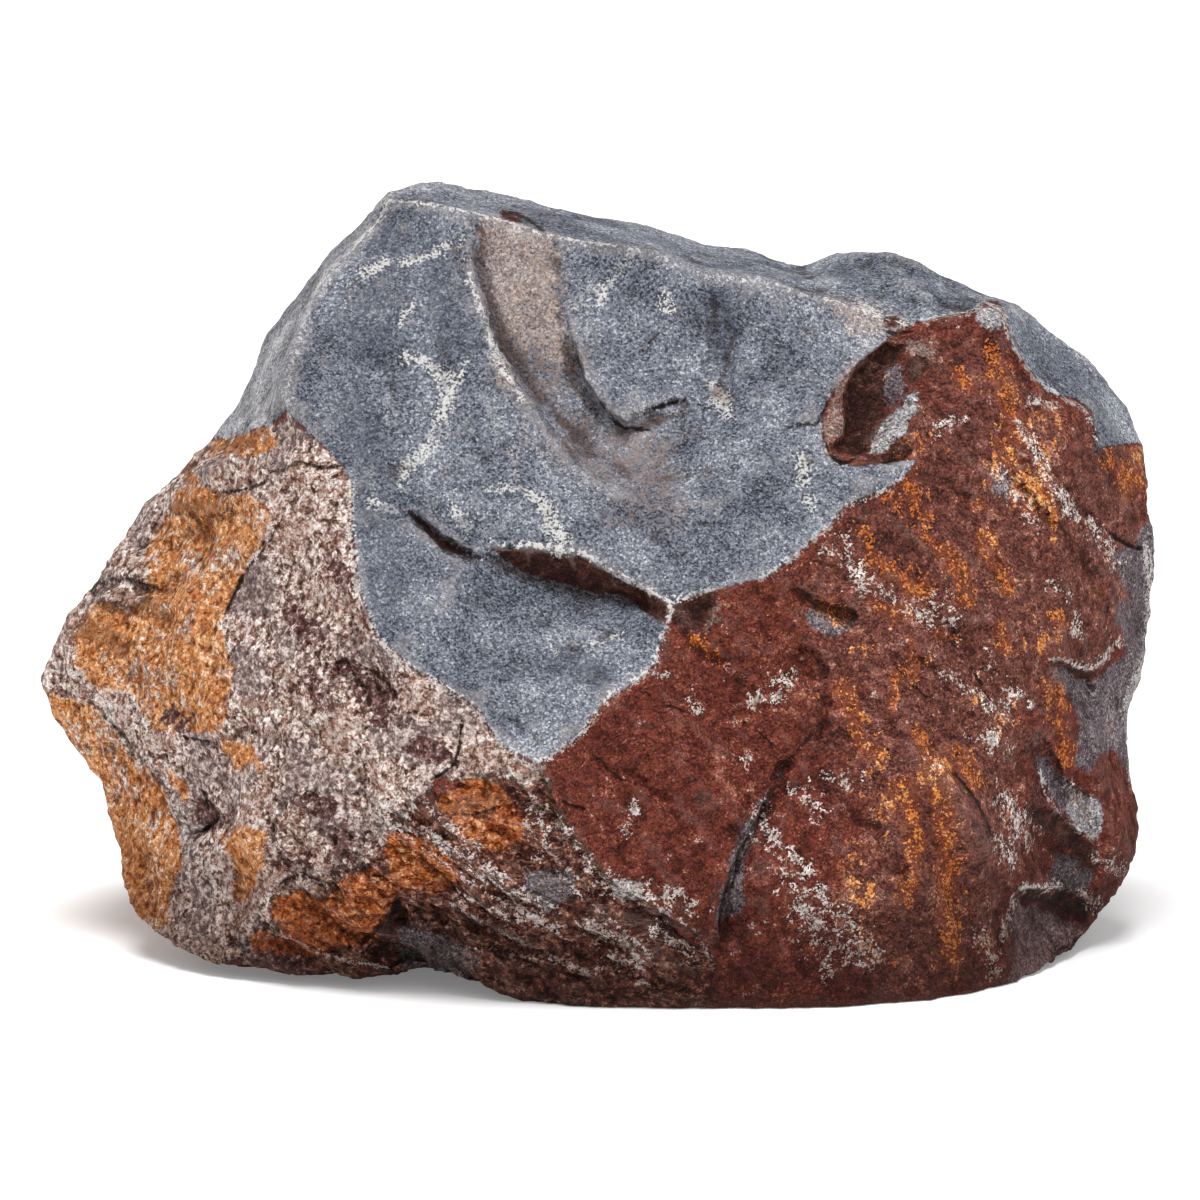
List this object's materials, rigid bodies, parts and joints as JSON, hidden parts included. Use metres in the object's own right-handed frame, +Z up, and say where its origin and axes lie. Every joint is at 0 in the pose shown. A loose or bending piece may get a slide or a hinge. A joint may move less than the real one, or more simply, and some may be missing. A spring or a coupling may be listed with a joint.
{
  "type": "rough rock",
  "caption": "Rough broken rock with a leaning fracture face, a shell-shaped scar, a stepped ledge and a flat underside to rest on.",
  "frame": {"origin": "centre of the bounding box's footprint, at the height of the flat underside", "axes": "+X to the right along the longest side, -Y out of the front with the fracture face and the prow, +Z up"},
  "size_m": [0.555, 0.3858, 0.3792],
  "materials": {
    "weathered_stone": "matt broken stone: blue-grey crystalline fracture faces, iron-stained red-brown and orange weathered faces, pale speckled bruises along the arrises"
  },
  "bodies": {
    "root": {"rock": "weathered_stone"}
  },
  "joints": []
}
